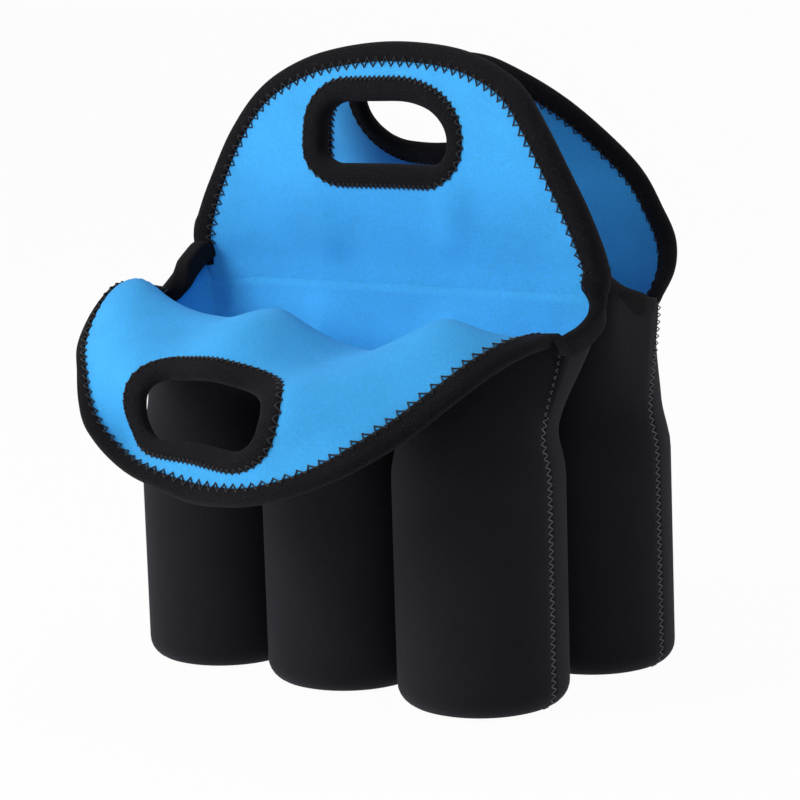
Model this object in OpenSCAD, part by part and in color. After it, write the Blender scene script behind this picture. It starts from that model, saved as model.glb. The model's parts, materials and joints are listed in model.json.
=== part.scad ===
// Soft carrier for six bottles: two rows of three foam pockets that hang from
// one double flap in the middle, with a single flap on each outer wall. Each
// flap is an arch with a bound hand hole. The front flap is folded forward.
// X runs along the rows, -Y is the front and Z is up. The origin is on the
// floor, under the middle of the outline with the front flap folded forward.

/* [Bottle pockets] */
// Inner diameter of a bottle pocket
pocket_bore = 66.8; // [62:0.2:76]
// Foam with its black outer face
foam_thick = 3; // [2:0.1:4.5]
// Blue lining bonded to the foam
lining_thick = 0.6; // [0.4:0.1:1]
// Gap between neighbouring pockets of a row, outside to outside
pocket_gap = 1.2; // [0.8:0.1:4]
// Gap between the front row and the back row
row_gap = 5; // [4:0.5:12]
// Radius of the rounded bottom edge, outside
base_round = 9; // [7:0.5:14]
// Height of the seams that part the pockets, above the floor
partition_height = 112; // [90:1:140]
// Height over which the wall opens out from the seams to the straight mouth
gusset_height = 38; // [26:1:50]

/* [Mouth] */
// Straight mouth wall under the front flap's fold
front_collar = 16.5; // [12:0.5:26]
// Straight mouth wall under the back flap's fold
back_collar = 20; // [18:0.5:30]
// Straight mouth wall under the middle flap
middle_collar = 29; // [24:0.5:40]
// Height of the front row's side seam above the foot of the mouth
front_side_rise = 7.5; // [4:0.5:10]
// Height of the back row's side seam above the foot of the mouth
back_side_rise = 15.5; // [8:0.5:16]
// How far the flaps' feet stand out past the end pockets
foot_flare = 3; // [0:0.5:8]
// Height over which the wall's round ends open out to the corners of the foot
corner_drop = 44; // [30:1:60]

/* [Flap outline] */
// Radius of the top of each arch
arch_radius = 167; // [150:1:200]
// Radius of each arch's shoulders
shoulder_radius = 67; // [55:1:75]
// From the end of the foot in to the centre of the shoulder's radius
shoulder_inset = 82.5; // [78:0.5:92]
// Lean of the flanks from upright
flank_lean = 29; // [24:1:34]
// Straight height of the outer flaps' feet where they flare out
foot_rise = 10; // [4:1:12]
// Half of the fold's length under each outer flap
fold_half = 90; // [80:1:100]

/* [Front flap] */
// Fold to tip, straight across
front_flap_height = 101; // [90:1:115]
// Radius of the flap's curl
front_curl = 113; // [90:1:150]
// Lean of the fold-to-tip line from upright, forward
front_lean = 134.5; // [110:0.5:140]

/* [Middle flap] */
// Foot to top, straight across
middle_flap_height = 99.5; // [90:1:115]
// Radius of the flap's curl
middle_curl = 157; // [120:1:300]

/* [Back flap] */
// Fold to tip, straight across
back_flap_height = 108; // [96:1:120]
// Radius of the flap's curl
back_curl = 95; // [80:1:150]
// Lean of the fold-to-tip line from upright, forward
back_lean = 19; // [10:0.5:22]

/* [Hand holes] */
// Clear width of a hand hole
hole_width = 75; // [60:1:90]
// Clear height of a hand hole
hole_height = 30.5; // [24:0.5:36]
// Radius of the hole's corners
hole_round = 13; // [8:0.5:14]
// From the arch's top down to the middle of the hole
hole_drop = 39; // [36:0.5:46]

/* [Bindings and stitching] */
// Width of the edge binding on each face
edge_width = 8; // [5:0.5:10]
// Width of the hand hole's binding on each face
rim_width = 10; // [6:0.5:12]
// Thickness of the binding tape
tape_thick = 1.2; // [0.8:0.1:2]
// Width of a band of stitches
stitch_width = 2.4; // [1:0.1:4]
// How far the thread stands out of the cloth
thread_thick = 0.4; // [0.2:0.1:0.6]

/* [Hidden] */
$fn = 96;

BLACK = [0.12, 0.12, 0.14];
TAPE = [0.16, 0.15, 0.17];
THREAD = [0.09, 0.09, 0.1];
BLUE = [0.32, 0.68, 0.95];

// Clearance between a wall and what turns over it
hinge_gap = 0.3;
// Extra angle that a fold's bevel leaves free
fold_spare = 2;
// The steepest that an outer flap's foot hangs, from upright
foot_hang = 138;
// Tape left outside the foam's cut edge
tape_cover = 1;
// Room beside a partition's thread
thread_room = 0.1;
// How far the round foot of a flap stops short of the cloth's ends
foot_ease = 0.5;
// How far the straight mouth lies inside the pockets' outermost line
mouth_ease = 0.15;
// Overlap of a cut past the face that it cuts
past = 1;
// Taller and wider than the whole carrier
big = 500;

sheet = foam_thick + lining_thick;
// From a fold up to where the flap's tape starts
tape_start = 2*sheet;
outer_r = pocket_bore/2 + sheet;
pitch = 2*outer_r + pocket_gap;
row_y = outer_r + row_gap/2;
pocket_x = [-pitch, 0, pitch];
row_half = pitch + outer_r;
foot_half = row_half + foot_flare;
mouth_z = partition_height + gusset_height;
front_fold_z = mouth_z + front_collar;
back_fold_z = mouth_z + back_collar;
middle_fold_z = mouth_z + middle_collar;
wall_top = middle_fold_z + 10;
// Middle of an outer wall's thickness, from its row's centre plane
wall_mid = outer_r - sheet/2;
// Top of the outer walls, clear of the flaps' round feet
foot_drop = sheet/2 + hinge_gap;
// Top of the inner walls, clear of the middle flap's round foot
inner_top_z = middle_fold_z
    - sqrt(max(0, pow(sheet + hinge_gap, 2) - pow(row_gap/2 + mouth_ease, 2)));
front_side_z = mouth_z + front_side_rise;
back_side_z = mouth_z + back_side_rise;
// Where the foot of the straight slope over a row's mouth meets the inner wall
slope_y = outer_r - 2*sheet;

// Depth of the curl at the middle of a flap, and how far its tape stands off
function curl_sag(h, curl) = sqrt(curl*curl - h*h/4);
function tip_off(h, curl) =
    sqrt(pow(curl + sheet/2 + tape_thick, 2) - h*h/4) - curl_sag(h, curl);
front_reach = row_y + wall_mid + front_flap_height*sin(front_lean)
    - tip_off(front_flap_height, front_curl)*cos(front_lean);
back_reach = row_y + outer_r;
// From the middle of the outline back to the middle flap
middle_y = (front_reach - back_reach)/2;

// A post with a flat foot and a rounded bottom edge of radius c
module round_foot_post(r, z0, c, top) {
    rotate_extrude()
        union() {
            translate([0, z0]) square([r - c, top - z0]);
            translate([0, z0 + c]) square([r, top - z0 - c]);
            intersection() {
                translate([r - c, z0 + c]) circle(c);
                translate([0, z0]) square([r, 2*c]);
            }
        }
}

// What lies inside a face of one row's wall at the given depth under its outer
// face. Round each pocket, and web from the row's centre plane where the pockets
// are parted. Above the partitions it slants out until the mouth is straight.
module row_envelope(depth, web, z0, top) {
    r = outer_r - depth;
    flat = r - mouth_ease;
    for (x = pocket_x)
        translate([x, 0, 0])
            round_foot_post(r, z0, base_round - depth, top);
    translate([-pitch, 0, 0])
        rotate([90, 0, 90])
            linear_extrude(2*pitch)
                polygon(concat(
                    web > 0 ? [[-web, base_round + 2], [web, base_round + 2], [web, partition_height]]
                        : [[0, partition_height]],
                    [[flat, mouth_z], [flat, top], [-flat, top], [-flat, mouth_z]],
                    web > 0 ? [[-web, partition_height]] : []
                ));
}

// What an inner wall's corner adds to a round end at the given depth, so that
// the wall comes out to the middle flap's foot at the top
module foot_corner(depth, top) {
    r = outer_r - depth;
    flat = r - mouth_ease;
    full_z = inner_top_z - edge_width;
    low = [r*cos(45) - mouth_ease, r*sin(45) - mouth_ease];
    section = [
        [0, 0], [r*cos(6) - mouth_ease, r*sin(6)],
        [foot_half - tape_cover - depth - pitch, flat], [0, flat]
    ];
    translate([pitch, 0, 0])
        polyhedron(
            points = concat(
                [[low.x, low.y, full_z - corner_drop]],
                [for (q = section) [q.x, q.y, full_z]],
                [for (q = section) [q.x, q.y, top]]
            ),
            faces = [
                [0, 1, 2], [0, 2, 3], [0, 3, 4], [0, 4, 1],
                [1, 5, 6, 2], [2, 6, 7, 3], [3, 7, 8, 4], [4, 8, 5, 1],
                [8, 7, 6, 5]
            ]
        );
}

module foot_corners(depth, top) {
    for (side = [0, 1])
        mirror([side, 0, 0]) foot_corner(depth, top);
}

// What lies over the row's mouth: level over both walls, lowest at the sides
module over_mouth(fold_z, side_z) {
    translate([-big/2, 0, 0])
        rotate([90, 0, 90])
            linear_extrude(big)
                polygon([
                    [-outer_r - past, fold_z - foot_drop], [-outer_r + sheet, fold_z - foot_drop],
                    [0, side_z], [slope_y, inner_top_z], [outer_r + past, inner_top_z],
                    [outer_r + past, big], [-outer_r - past, big]
                ]);
}

// The space that the outer flap sweeps beside its fold at its lowest
module under_fold(fold_z) {
    translate([-big/2, -wall_mid, fold_z])
        rotate([foot_hang + fold_spare, 0, 0])
            translate([0, -foot_drop, 0])
                cube([big, 5*sheet, 10*sheet]);
}

// One layer of a row's outer wall, between two depths
module outer_layer(d_out, d_in, web_out, web_in, fold_z, side_z) {
    difference() {
        row_envelope(d_out, web_out, d_out, wall_top);
        row_envelope(d_in, web_in, d_in, wall_top + past);
        over_mouth(fold_z, side_z);
        under_fold(fold_z);
        translate([-big/2, 0, -past]) cube([big, big, big]);
    }
}

// One layer of a row's inner wall, between two depths
module inner_layer(d_out, d_in, web_out, web_in, fold_z, side_z) {
    difference() {
        union() {
            row_envelope(d_out, web_out, d_out, wall_top);
            foot_corners(d_out, wall_top);
        }
        row_envelope(d_in, web_in, d_in, wall_top + past);
        foot_corners(d_in, wall_top + past);
        over_mouth(fold_z, side_z);
        translate([-big/2, -big, -past]) cube([big, big, big]);
    }
}

module outer_foam(fold_z, side_z) {
    outer_layer(0, foam_thick, sheet, lining_thick, fold_z, side_z);
}

module outer_lining(fold_z, side_z) {
    outer_layer(foam_thick, sheet, lining_thick, 0, fold_z, side_z);
}

module inner_foam(fold_z, side_z) {
    inner_layer(0, foam_thick, sheet, lining_thick, fold_z, side_z);
}

module inner_lining(fold_z, side_z) {
    inner_layer(foam_thick, sheet, lining_thick, 0, fold_z, side_z);
}

module front_row() {
    translate([0, middle_y - row_y, 0]) children();
}

module back_row() {
    translate([0, middle_y + row_y, 0]) mirror([0, 1, 0]) children();
}

// Flat zigzag seam up the side of a row, side is -1 or 1
module side_seam(side, side_z) {
    intersection() {
        translate([side*pitch, 0, 0])
            difference() {
                round_foot_post(outer_r + thread_thick, -thread_thick, base_round + thread_thick, big);
                round_foot_post(outer_r, 0, base_round, big + past);
            }
        translate([side > 0 ? row_half - base_round/2 : -row_half - past, -stitch_width/2, base_round/4])
            cube([base_round/2 + past, stitch_width, side_z - base_round/4 - edge_width]);
    }
}

// Lines of thread down the valleys between the pockets, on both faces
module partition_stitching() {
    thread = pocket_gap - 2*thread_room;
    for (x = [-pitch/2, pitch/2], face = [-1, 1])
        translate([x - thread/2, face > 0 ? sheet : -sheet - thread_thick, 2*base_round])
            cube([thread, thread_thick, partition_height - 3*base_round]);
}

// A row's right end with the corner of its foot, down to the given depth
module row_end(depth, top) {
    translate([pitch, 0, 0])
        cylinder(h = top, r = outer_r - depth);
    foot_corner(depth, top);
}

// Slope over a row's mouth from its side seam to the middle flap, between two
// heights above the cloth's edge
module slope_band(side_z, low, high) {
    translate([-big/2, 0, 0])
        rotate([90, 0, 90])
            linear_extrude(big)
                polygon([
                    [0, side_z + low], [slope_y, inner_top_z + low],
                    [slope_y, inner_top_z + high], [0, side_z + high]
                ]);
}

// Tape over the sloping edge from a row's side seam up to the middle flap
module mouth_binding(side, side_z) {
    mirror([side > 0 ? 0 : 1, 0, 0])
        difference() {
            intersection() {
                row_end(-tape_thick, wall_top);
                slope_band(side_z, -edge_width, tape_thick);
                translate([row_half - edge_width, -past, 0]) cube([3*edge_width, outer_r + past, big]);
            }
            row_end(sheet + tape_thick, wall_top + past);
            intersection() {
                difference() {
                    row_end(0, wall_top);
                    row_end(sheet, wall_top + past);
                }
                slope_band(side_z, -edge_width - past, 0);
            }
        }
}

// Arch outline: right half from the foot to the top, moved inwards by inset. h
// is the arch's height, foot half of its width where it starts, rise the height
// at which it is widest, and low where the outline starts.
function shoulder_centre(h) =
    let (x = foot_half - shoulder_inset)
    [x, h - arch_radius + sqrt(pow(arch_radius - shoulder_radius, 2) - x*x)];

// The flared edge from the foot out to the widest place, or where it meets the
// flank if that comes first
function flared_edge(inset, foot, rise, low, tangent) =
    let (
        slope = rise/(foot_half - foot),
        back = inset/sin(atan(slope)),
        side_x = foot_half - inset,
        start = foot - back + max(low, 0)/slope,
        side_y = (side_x - foot + back)*slope,
        knee_y = tangent.y - (side_x - tangent.x)/tan(flank_lean),
        x = (tangent.y + tangent.x/tan(flank_lean) + (foot - back)*slope)/(slope + 1/tan(flank_lean))
    )
    concat(
        low < 0 ? [[start, low], [start, 0]] : [[start, low]],
        side_y < knee_y ? [[side_x, side_y], [side_x, knee_y]] : [[x, (x - foot + back)*slope]]
    );

function arch_right(h, inset, foot, rise, low) =
    let (
        c = shoulder_centre(h),
        r2 = shoulder_radius - inset,
        r1 = arch_radius - inset,
        meet = acos(c.x/(arch_radius - shoulder_radius)),
        tangent = c + r2*[cos(flank_lean), sin(flank_lean)],
        side_x = foot_half - inset
    )
    concat(
        foot < foot_half ? flared_edge(inset, foot, rise, low, tangent)
            : [[side_x, low], [side_x, tangent.y - (side_x - tangent.x)/tan(flank_lean)]],
        [for (i = [0:7]) let (a = flank_lean + (meet - flank_lean)*i/7) c + r2*[cos(a), sin(a)]],
        [for (i = [1:4]) let (a = meet + (90 - meet)*i/4) [0, h - arch_radius] + r1*[cos(a), sin(a)]]
    );

function both_sides(right) =
    concat(right, [for (i = [len(right) - 2:-1:0]) [-right[i].x, right[i].y]]);

// Rounded oblong of half sizes a and b and corner radius r, about [0, y]
function oblong(a, b, r, y) = [
    for (q = [0:3], i = [0:5])
        let (t = 90*q + 18*i, sx = q == 0 || q == 3 ? 1 : -1, sy = q < 2 ? 1 : -1)
        [sx*(a - r) + r*cos(t), y + sy*(b - r) + r*sin(t)]
];

// A flap's frame has X along the fold, Y from the fold to the tip and Z out of
// its hollow side's back, where the flap bulges. The front flap bulges to the
// rear when it stands up, and the others to the front.
module front_flap_frame() {
    translate([0, middle_y - row_y - wall_mid, front_fold_z])
        rotate([front_lean, 0, 0]) rotate([90, 0, 180]) children();
}

module middle_flap_frame() {
    translate([0, middle_y, middle_fold_z]) rotate([90, 0, 0]) children();
}

module back_flap_frame() {
    translate([0, middle_y + row_y + wall_mid, back_fold_z])
        rotate([back_lean, 0, 0]) rotate([90, 0, 0]) children();
}

// The curled layer of a flap between two depths, measured from its middle
module curl_layer(h, curl, from, to) {
    translate([0, h/2, -sqrt(curl*curl - h*h/4)])
        rotate([0, 90, 0])
            difference() {
                cylinder(h = 2*foot_half + 20, r = curl + to, center = true);
                cylinder(h = 2*foot_half + 22, r = curl + from, center = true);
            }
}

// A straight prism through the flap, with the given outline
module through(points) {
    translate([0, 0, -big/4]) linear_extrude(big/2) polygon(points);
}

module hole_prism(h, spread) {
    through(oblong(hole_width/2 + spread, hole_height/2 + spread, hole_round + spread, h - hole_drop));
}

// Lean of the cloth at the fold against the line from fold to tip
function foot_lean(h, curl) = asin(h/2/curl);

// Half of the cloth's length along its fold
function fold_end(foot, rise) =
    foot < foot_half ? foot - tape_cover/sin(atan(rise/(foot_half - foot))) : foot_half - tape_cover;

// A flap's whole cloth of thickness t, with a round edge along its fold
module flap_cloth(h, curl, foot, rise, t) {
    difference() {
        union() {
            difference() {
                intersection() {
                    through(both_sides(arch_right(h, tape_cover, foot, rise, -t)));
                    curl_layer(h, curl, -t/2, t/2);
                }
                rotate([foot_lean(h, curl), 0, 0])
                    translate([-big/2, -big, -big/2]) cube([big, big, big]);
            }
            rotate([foot_lean(h, curl), 0, 0])
                rotate([90, 0, 90])
                    translate([0, 0, foot_ease - fold_end(foot, rise)])
                        linear_extrude(2*fold_end(foot, rise) - 2*foot_ease)
                            intersection() {
                                circle(t/2);
                                translate([-t, -t]) square([t, 2*t]);
                            }
        }
        hole_prism(h, tape_cover);
    }
}

// The part of a flap's cloth between two depths
module flap_layer(h, curl, foot, rise, t, from, to) {
    intersection() {
        flap_cloth(h, curl, foot, rise, t);
        curl_layer(h, curl, from, to);
    }
}

// Tape round the arch's edge
module flap_binding(h, curl, foot, rise, t) {
    difference() {
        intersection() {
            difference() {
                through(both_sides(arch_right(h, 0, foot, rise, tape_start)));
                through(both_sides(arch_right(h, edge_width, foot, rise, sheet)));
            }
            curl_layer(h, curl, -t/2 - tape_thick, t/2 + tape_thick);
        }
        flap_cloth(h, curl, foot, rise, t);
    }
}

// Tape round the hand hole
module hole_binding(h, curl, foot, rise, t) {
    difference() {
        intersection() {
            difference() {
                hole_prism(h, rim_width);
                hole_prism(h, 0);
            }
            curl_layer(h, curl, -t/2 - tape_thick, t/2 + tape_thick);
        }
        flap_cloth(h, curl, foot, rise, t);
    }
}

// Band of stitches beside the edge binding, on the face at depth z
module edge_stitching(h, curl, foot, rise, from, to) {
    intersection() {
        difference() {
            through(both_sides(arch_right(h, edge_width, foot, rise, tape_start + sheet)));
            through(both_sides(arch_right(h, edge_width + stitch_width, foot, rise, sheet)));
        }
        curl_layer(h, curl, from, to);
    }
}

// Band of stitches round the hand hole's binding
module hole_stitching(h, curl, from, to) {
    intersection() {
        difference() {
            hole_prism(h, rim_width + stitch_width/2);
            hole_prism(h, rim_width);
        }
        curl_layer(h, curl, from, to);
    }
}

module front_outer_wall_foam() {
    color(BLACK) front_row() outer_foam(front_fold_z, front_side_z);
}

module front_outer_wall_lining() {
    color(BLUE) front_row() outer_lining(front_fold_z, front_side_z);
}

module front_inner_wall_foam() {
    color(BLACK) front_row() inner_foam(front_fold_z, front_side_z);
}

module front_inner_wall_lining() {
    color(BLUE) front_row() inner_lining(front_fold_z, front_side_z);
}

module front_left_side_seam() {
    color(THREAD) front_row() side_seam(-1, front_side_z);
}

module front_right_side_seam() {
    color(THREAD) front_row() side_seam(1, front_side_z);
}

module front_partition_stitching() {
    color(THREAD) front_row() partition_stitching();
}

module front_left_mouth_binding() {
    color(TAPE) front_row() mouth_binding(-1, front_side_z);
}

module front_right_mouth_binding() {
    color(TAPE) front_row() mouth_binding(1, front_side_z);
}

module back_inner_wall_foam() {
    color(BLACK) back_row() inner_foam(back_fold_z, back_side_z);
}

module back_inner_wall_lining() {
    color(BLUE) back_row() inner_lining(back_fold_z, back_side_z);
}

module back_outer_wall_foam() {
    color(BLACK) back_row() outer_foam(back_fold_z, back_side_z);
}

module back_outer_wall_lining() {
    color(BLUE) back_row() outer_lining(back_fold_z, back_side_z);
}

module back_left_side_seam() {
    color(THREAD) back_row() side_seam(-1, back_side_z);
}

module back_right_side_seam() {
    color(THREAD) back_row() side_seam(1, back_side_z);
}

module back_partition_stitching() {
    color(THREAD) back_row() partition_stitching();
}

module back_left_mouth_binding() {
    color(TAPE) back_row() mouth_binding(-1, back_side_z);
}

module back_right_mouth_binding() {
    color(TAPE) back_row() mouth_binding(1, back_side_z);
}

module front_flap_foam() {
    color(BLACK) front_flap_frame()
        flap_layer(front_flap_height, front_curl, fold_half, foot_rise, sheet, -sheet, sheet/2 - lining_thick);
}

module front_flap_lining() {
    color(BLUE) front_flap_frame()
        flap_layer(front_flap_height, front_curl, fold_half, foot_rise, sheet, sheet/2 - lining_thick, sheet);
}

module front_flap_binding() {
    color(TAPE) front_flap_frame()
        flap_binding(front_flap_height, front_curl, fold_half, foot_rise, sheet);
}

module front_hand_hole_binding() {
    color(TAPE) front_flap_frame()
        hole_binding(front_flap_height, front_curl, fold_half, foot_rise, sheet);
}

module front_flap_edge_stitching() {
    color(THREAD) front_flap_frame()
        edge_stitching(front_flap_height, front_curl, fold_half, foot_rise,
            sheet/2, sheet/2 + thread_thick);
}

module front_hand_hole_stitching() {
    color(THREAD) front_flap_frame()
        hole_stitching(front_flap_height, front_curl, sheet/2, sheet/2 + thread_thick);
}

module middle_flap_front_foam() {
    color(BLACK) middle_flap_frame()
        flap_layer(middle_flap_height, middle_curl, foot_half, 0, 2*sheet, 0, foam_thick);
}

module middle_flap_front_lining() {
    color(BLUE) middle_flap_frame()
        flap_layer(middle_flap_height, middle_curl, foot_half, 0, 2*sheet, foam_thick, 2*sheet);
}

module middle_flap_rear_foam() {
    color(BLACK) middle_flap_frame()
        flap_layer(middle_flap_height, middle_curl, foot_half, 0, 2*sheet, -foam_thick, 0);
}

module middle_flap_rear_lining() {
    color(BLUE) middle_flap_frame()
        flap_layer(middle_flap_height, middle_curl, foot_half, 0, 2*sheet, -2*sheet, -foam_thick);
}

module middle_flap_binding() {
    color(TAPE) middle_flap_frame()
        flap_binding(middle_flap_height, middle_curl, foot_half, 0, 2*sheet);
}

module middle_hand_hole_binding() {
    color(TAPE) middle_flap_frame()
        hole_binding(middle_flap_height, middle_curl, foot_half, 0, 2*sheet);
}

module middle_flap_edge_stitching() {
    color(THREAD) middle_flap_frame() {
        edge_stitching(middle_flap_height, middle_curl, foot_half, 0,
            sheet, sheet + thread_thick);
        edge_stitching(middle_flap_height, middle_curl, foot_half, 0,
            -sheet - thread_thick, -sheet);
    }
}

module middle_hand_hole_stitching() {
    color(THREAD) middle_flap_frame() {
        hole_stitching(middle_flap_height, middle_curl, sheet, sheet + thread_thick);
        hole_stitching(middle_flap_height, middle_curl, -sheet - thread_thick, -sheet);
    }
}

module back_flap_foam() {
    color(BLACK) back_flap_frame()
        flap_layer(back_flap_height, back_curl, fold_half, foot_rise, sheet, -sheet, sheet/2 - lining_thick);
}

module back_flap_lining() {
    color(BLUE) back_flap_frame()
        flap_layer(back_flap_height, back_curl, fold_half, foot_rise, sheet, sheet/2 - lining_thick, sheet);
}

module back_flap_binding() {
    color(TAPE) back_flap_frame()
        flap_binding(back_flap_height, back_curl, fold_half, foot_rise, sheet);
}

module back_hand_hole_binding() {
    color(TAPE) back_flap_frame()
        hole_binding(back_flap_height, back_curl, fold_half, foot_rise, sheet);
}

module back_flap_edge_stitching() {
    color(THREAD) back_flap_frame()
        edge_stitching(back_flap_height, back_curl, fold_half, foot_rise,
            sheet/2, sheet/2 + thread_thick);
}

module back_hand_hole_stitching() {
    color(THREAD) back_flap_frame()
        hole_stitching(back_flap_height, back_curl, sheet/2, sheet/2 + thread_thick);
}

front_outer_wall_foam();
front_outer_wall_lining();
front_inner_wall_foam();
front_inner_wall_lining();
front_left_side_seam();
front_right_side_seam();
front_partition_stitching();
front_left_mouth_binding();
front_right_mouth_binding();
back_inner_wall_foam();
back_inner_wall_lining();
back_outer_wall_foam();
back_outer_wall_lining();
back_left_side_seam();
back_right_side_seam();
back_partition_stitching();
back_left_mouth_binding();
back_right_mouth_binding();
front_flap_foam();
front_flap_lining();
front_flap_binding();
front_hand_hole_binding();
front_flap_edge_stitching();
front_hand_hole_stitching();
middle_flap_front_foam();
middle_flap_front_lining();
middle_flap_rear_foam();
middle_flap_rear_lining();
middle_flap_binding();
middle_hand_hole_binding();
middle_flap_edge_stitching();
middle_hand_hole_stitching();
back_flap_foam();
back_flap_lining();
back_flap_binding();
back_hand_hole_binding();
back_flap_edge_stitching();
back_hand_hole_stitching();
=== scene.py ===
"""Dresses the six pack carrier: foam cloth, blue lining, tape, stitching, camera and stage."""
import json
from math import cos, pi, radians, sin

import bmesh
import bpy
import numpy as np
from mathutils import Matrix


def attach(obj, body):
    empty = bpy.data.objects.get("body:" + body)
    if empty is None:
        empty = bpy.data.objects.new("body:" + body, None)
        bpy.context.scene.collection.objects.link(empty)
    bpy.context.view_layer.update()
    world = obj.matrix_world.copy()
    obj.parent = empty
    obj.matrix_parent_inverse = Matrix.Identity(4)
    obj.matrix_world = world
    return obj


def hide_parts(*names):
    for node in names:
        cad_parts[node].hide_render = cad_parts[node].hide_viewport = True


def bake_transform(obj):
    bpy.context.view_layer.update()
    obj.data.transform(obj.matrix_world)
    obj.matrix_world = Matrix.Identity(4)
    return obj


bl_info = {
    "name": "Six Pack Carrier",
    "version": (1, 0, 0),
    "blender": (4, 5, 0),
    "location": "View3D > Sidebar > Carrier",
    "description": "Makes the cloth, tape and stitching of a soft six pack carrier on its frame",
    "category": "Object",
}

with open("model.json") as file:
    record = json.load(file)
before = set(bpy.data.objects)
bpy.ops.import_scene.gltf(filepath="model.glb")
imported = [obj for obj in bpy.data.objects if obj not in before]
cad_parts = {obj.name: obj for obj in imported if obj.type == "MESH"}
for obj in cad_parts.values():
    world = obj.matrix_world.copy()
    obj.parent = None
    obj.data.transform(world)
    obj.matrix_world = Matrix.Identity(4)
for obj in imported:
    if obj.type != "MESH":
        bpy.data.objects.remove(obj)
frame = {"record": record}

# The rows' middles and the middle flap's fold, in millimetres, from the frame
MM = 0.001
JOINTS = {joint["name"]: joint["pos_m"] for joint in frame["record"]["behaviour"]["joints"]}
FEET = {mount["name"]: mount["pos_m"] for mount in frame["record"]["mounts"]}
FRONT_Y = FEET["front_row_base"][1] / MM
BACK_Y = FEET["back_row_base"][1] / MM
_, MIDDLE_Y, MIDDLE_Z = (v / MM for v in JOINTS["middle_flap_fold"])


# Sizes and colours
class CarrierSizes(bpy.types.PropertyGroup):
    """Sizes of the cloth and its stitching."""

    pocket_bore: bpy.props.FloatProperty(
        name="Pocket bore", description="Inside diameter of a pocket", default=0.0668,
        unit="LENGTH", subtype="DISTANCE")
    pocket_pitch: bpy.props.FloatProperty(
        name="Pocket pitch", description="From one pocket's middle to the next", default=0.0752,
        unit="LENGTH", subtype="DISTANCE")
    foam: bpy.props.FloatProperty(
        name="Foam", description="Thickness of the black foam", default=0.003,
        unit="LENGTH", subtype="DISTANCE")
    lining: bpy.props.FloatProperty(
        name="Lining", description="Thickness of the blue lining", default=0.0006,
        unit="LENGTH", subtype="DISTANCE")
    neck_in: bpy.props.FloatProperty(
        name="Neck in", description="How far a pocket narrows at its shoulder", default=0.0035,
        unit="LENGTH", subtype="DISTANCE")
    tape_width: bpy.props.FloatProperty(
        name="Tape width", description="Width of the edge tape on each face", default=0.0082,
        unit="LENGTH", subtype="DISTANCE")
    rim_width: bpy.props.FloatProperty(
        name="Hand hole tape width", description="Width of the tape round a hand hole",
        default=0.0085, unit="LENGTH", subtype="DISTANCE")
    hole_length: bpy.props.FloatProperty(
        name="Hand hole length", description="Clear length of a hand hole", default=0.075,
        unit="LENGTH", subtype="DISTANCE")
    hole_height: bpy.props.FloatProperty(
        name="Hand hole height", description="Clear height of a hand hole", default=0.0305,
        unit="LENGTH", subtype="DISTANCE")
    stitch_pitch: bpy.props.FloatProperty(
        name="Stitch pitch", description="Length of one zigzag tooth", default=0.0054,
        unit="LENGTH", subtype="DISTANCE")
    thread: bpy.props.FloatProperty(
        name="Thread", description="Radius of the thread", default=0.00035,
        unit="LENGTH", subtype="DISTANCE")


class CarrierColours(bpy.types.PropertyGroup):
    """Colours of the cloth, in linear values."""

    foam: bpy.props.FloatVectorProperty(
        name="Foam", description="Black knit face", default=(0.0086, 0.0074, 0.0108),
        size=3, subtype="COLOR", min=0, max=1)
    lining: bpy.props.FloatVectorProperty(
        name="Lining", description="Blue knit face", default=(0.056, 0.42, 0.89),
        size=3, subtype="COLOR", min=0, max=1)
    tape: bpy.props.FloatVectorProperty(
        name="Tape", description="Black tape", default=(0.0036, 0.0033, 0.0046),
        size=3, subtype="COLOR", min=0, max=1)
    thread: bpy.props.FloatVectorProperty(
        name="Thread", description="Black thread", default=(0.006, 0.006, 0.008),
        size=3, subtype="COLOR", min=0, max=1)
    seam: bpy.props.FloatVectorProperty(
        name="Seam thread", description="Dark grey thread of the side seams",
        default=(0.13, 0.125, 0.135), size=3, subtype="COLOR", min=0, max=1)


def sizes():
    """The sizes in millimetres, as a plain dict, with the whole sheet's thickness."""
    group = bpy.context.scene.carrier_sizes
    found = {name: getattr(group, name) / MM for name in CarrierSizes.__annotations__}
    found["sheet"] = found["foam"] + found["lining"]
    return found


def colours():
    """The colours as plain tuples."""
    group = bpy.context.scene.carrier_colours
    return {name: tuple(getattr(group, name)) for name in CarrierColours.__annotations__}


# Curves and surfaces
def ease(t):
    """Smooth step: 3t^2 - 2t^3 on t held between 0 and 1."""
    t = np.clip(t, 0, 1)
    return t * t * (3 - 2 * t)


def unit(v):
    """Vectors along the last axis, each divided by its length."""
    return v / (np.linalg.norm(v, axis=-1, keepdims=True) + 1e-12)


def run_along(curve):
    """Length from a polyline's first point to each of its points."""
    return np.concatenate([[0], np.cumsum(np.linalg.norm(np.diff(curve, axis=0), axis=1))])


def picked(curve, run, at):
    """A polyline's values at the lengths at, where run is the length at each of its points."""
    return np.stack([np.interp(at, run, column) for column in curve.T], 1)


def respace(curve, count, closed=False):
    """Points along a polyline at even spacing; a closed one doesn't repeat its first point."""
    if closed:
        curve = np.vstack([curve, curve[:1]])
    run = run_along(curve)
    return picked(curve, run, np.linspace(0, run[-1], count, endpoint=not closed))


def through(points, count):
    """A Catmull-Rom curve through the points, resampled to count points at even spacing."""
    p = np.array(points, float)
    p = np.vstack([2 * p[0] - p[1], p, 2 * p[-1] - p[-2]])
    u = np.linspace(0, 1, 40, endpoint=False)[:, None]
    a, b, c, d = p[:-3, None], p[1:-2, None], p[2:-1, None], p[3:, None]
    curve = 0.5 * (2 * b + (c - a) * u + (2 * a - 5 * b + 4 * c - d) * u**2
                   + (3 * b - a - 3 * c + d) * u**3)
    curve = np.vstack([curve.reshape(-1, p.shape[1]), p[-2]])
    return respace(curve, count)


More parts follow.
